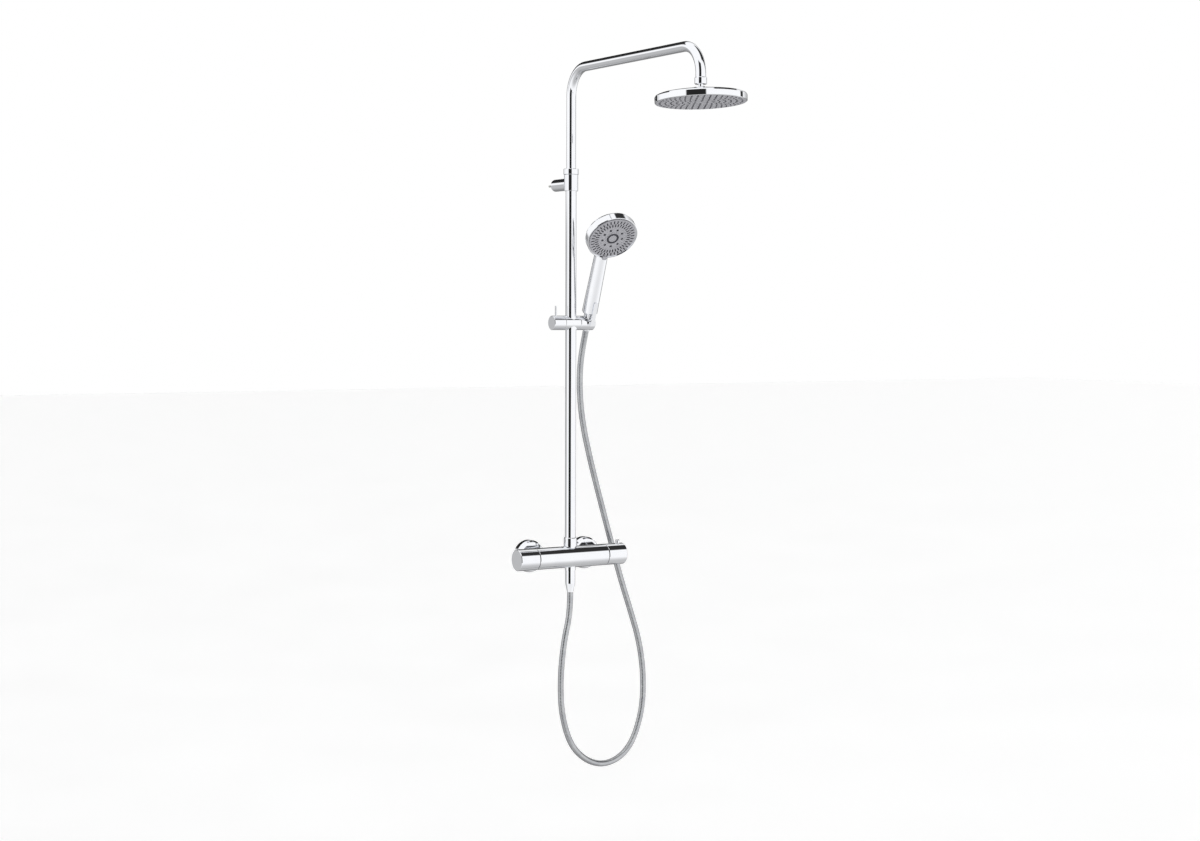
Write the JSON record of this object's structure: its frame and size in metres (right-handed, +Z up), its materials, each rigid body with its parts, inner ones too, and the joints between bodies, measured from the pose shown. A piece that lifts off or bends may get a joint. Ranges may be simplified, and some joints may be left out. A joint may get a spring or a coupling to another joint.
{
  "type": "rainfall shower column",
  "caption": "Wall-mounted chrome shower column: thermostatic bar mixer, telescopic riser, swan-neck arm with tilting rain head, and sliding hand shower on a hose.",
  "frame": {"origin": "midway between the two water inlets, on the wall plane", "axes": "+X to the user's right along the mixer, +Y into the wall, +Z up"},
  "size_m": [0.3708, 0.721, 1.6436],
  "materials": {
    "black_plastic": "satin",
    "brass": "machined",
    "ceramic": "lapped ceramic",
    "chrome": "polished",
    "hose_skin": "silver, fine spiral",
    "nozzle_rubber": "matt",
    "plated_plastic": "polished, chrome plated",
    "seal_rubber": "matt",
    "spray_grey": "satin",
    "steel": "zinc plated",
    "white_plastic": "satin"
  },
  "bodies": {
    "column": {"inlet_union_hot": "brass", "inlet_union_cold": "brass", "rosette_hot": "chrome", "rosette_cold": "chrome", "union_nut_hot": "chrome", "union_nut_cold": "chrome", "inlet_filter_hot": "seal_rubber", "inlet_filter_cold": "seal_rubber", "mixer_body": "chrome", "flow_cartridge": "white_plastic", "thermo_cartridge": "white_plastic", "flow_disc_fixed": "ceramic", "spacer_ring_left": "black_plastic", "spacer_ring_right": "black_plastic", "riser_nut": "chrome", "riser_seal": "seal_rubber", "riser_tube": "chrome", "lock_collar": "chrome", "collar_bush": "white_plastic", "bracket_sleeve": "chrome", "bracket_stem": "chrome", "wall_fixing": "white_plastic", "wall_screw": "steel", "outlet_nipple": "chrome", "hose_nut_lower": "chrome", "hose_washer_lower": "seal_rubber", "shower_hose": "hose_skin"},
    "guide": {"guide_bush": "white_plastic", "bush_seal": "seal_rubber"},
    "arm": {"swan_neck": "chrome", "arm_ferrule": "chrome", "ball_stem": "chrome"},
    "ball_seat": {"ball_seat": "white_plastic"},
    "rain_head": {"ball_nut": "chrome", "head_shell": "chrome", "head_backnut": "brass", "head_face": "spray_grey", "head_nozzles": "nozzle_rubber"},
    "flow_handle": {"flow_handle": "chrome", "flow_spindle": "brass", "flow_disc_rotor": "ceramic"},
    "temp_handle": {"temp_handle": "chrome", "temp_spindle": "brass"},
    "safety_button": {"safety_button": "chrome"},
    "thermo_piston": {"thermo_piston": "brass"},
    "slider_collet": {"slider_collet": "chrome"},
    "slider": {"slider_barrel": "chrome", "brake_shoe": "black_plastic"},
    "lock_knob": {"lock_knob": "chrome", "lock_lever": "chrome", "clamp_screw": "steel"},
    "cradle": {"cradle": "chrome"},
    "handset": {"handset_shell": "plated_plastic", "hose_nut_upper": "chrome", "hose_washer_upper": "seal_rubber"},
    "selector": {"spray_face": "spray_grey", "spray_nozzles": "nozzle_rubber", "spray_ring": "nozzle_rubber", "selector_pivot": "brass"}
  },
  "joints": [
    {"name": "height_slide", "type": "slide", "parent": "column", "child": "guide", "axis": [0, 0, 1], "range_m": [-0.1, 0.12]},
    {"name": "arm_swivel", "type": "hinge", "parent": "guide", "child": "arm", "pos_m": [0, -0.07, 0.7], "axis": [0, 0, 1], "range_deg": [-45, 45]},
    {"name": "head_tilt_front", "type": "hinge", "parent": "arm", "child": "ball_seat", "pos_m": [0, -0.592, 1.028], "axis": [1, 0, 0], "range_deg": [-8.5, 15.5]},
    {"name": "head_tilt_side", "type": "hinge", "parent": "ball_seat", "child": "rain_head", "pos_m": [0, -0.592, 1.028], "axis": [0, 1, 0], "range_deg": [-12, 12]},
    {"name": "flow_turn", "type": "hinge", "parent": "column", "child": "flow_handle", "pos_m": [-0.118, -0.07, 0], "axis": [1, 0, 0], "range_deg": [-90, 90]},
    {"name": "temperature_turn", "type": "hinge", "parent": "column", "child": "temp_handle", "pos_m": [0.118, -0.07, 0], "axis": [1, 0, 0], "range_deg": [-150, 60]},
    {"name": "safety_press", "type": "slide", "parent": "temp_handle", "child": "safety_button", "axis": [0, 0, -1], "range_m": [0, 0.003], "stiffness_N_per_m": 800},
    {"name": "thermostat_stroke", "type": "slide", "parent": "column", "child": "thermo_piston", "axis": [1, 0, 0], "range_m": [-0.0011, 0.00045]},
    {"name": "slider_height", "type": "slide", "parent": "column", "child": "slider_collet", "axis": [0, 0, 1], "range_m": [-0.2, 0.25], "deforming": ["shower_hose"]},
    {"name": "slider_swivel", "type": "hinge", "parent": "slider_collet", "child": "slider", "pos_m": [0, -0.07, 0.5434], "axis": [0, 0, 1], "range_deg": [-60, 35], "deforming": ["shower_hose"]},
    {"name": "lock_turn", "type": "hinge", "parent": "slider", "child": "lock_knob", "pos_m": [-0.03, -0.07, 0.5434], "axis": [1, 0, 0], "range_deg": [0, 90]},
    {"name": "cradle_tilt", "type": "hinge", "parent": "slider", "child": "cradle", "pos_m": [0.03, -0.07, 0.5434], "axis": [1, 0, 0], "range_deg": [-15, 25], "deforming": ["shower_hose"]},
    {"name": "handset_lift", "type": "slide", "parent": "cradle", "child": "handset", "axis": [0, -0.3584, 0.9336], "range_m": [0, 0.1], "deforming": ["shower_hose"]},
    {"name": "spray_select", "type": "hinge", "parent": "handset", "child": "selector", "pos_m": [0.0408, -0.18616, 0.73446], "axis": [-0.0969, -0.7266, -0.6802], "range_deg": [-40, 40]}
  ],
  "couplings": [
    {"joint": "thermostat_stroke", "follows": "temperature_turn", "m_per_rad": 0.0004}
  ]
}
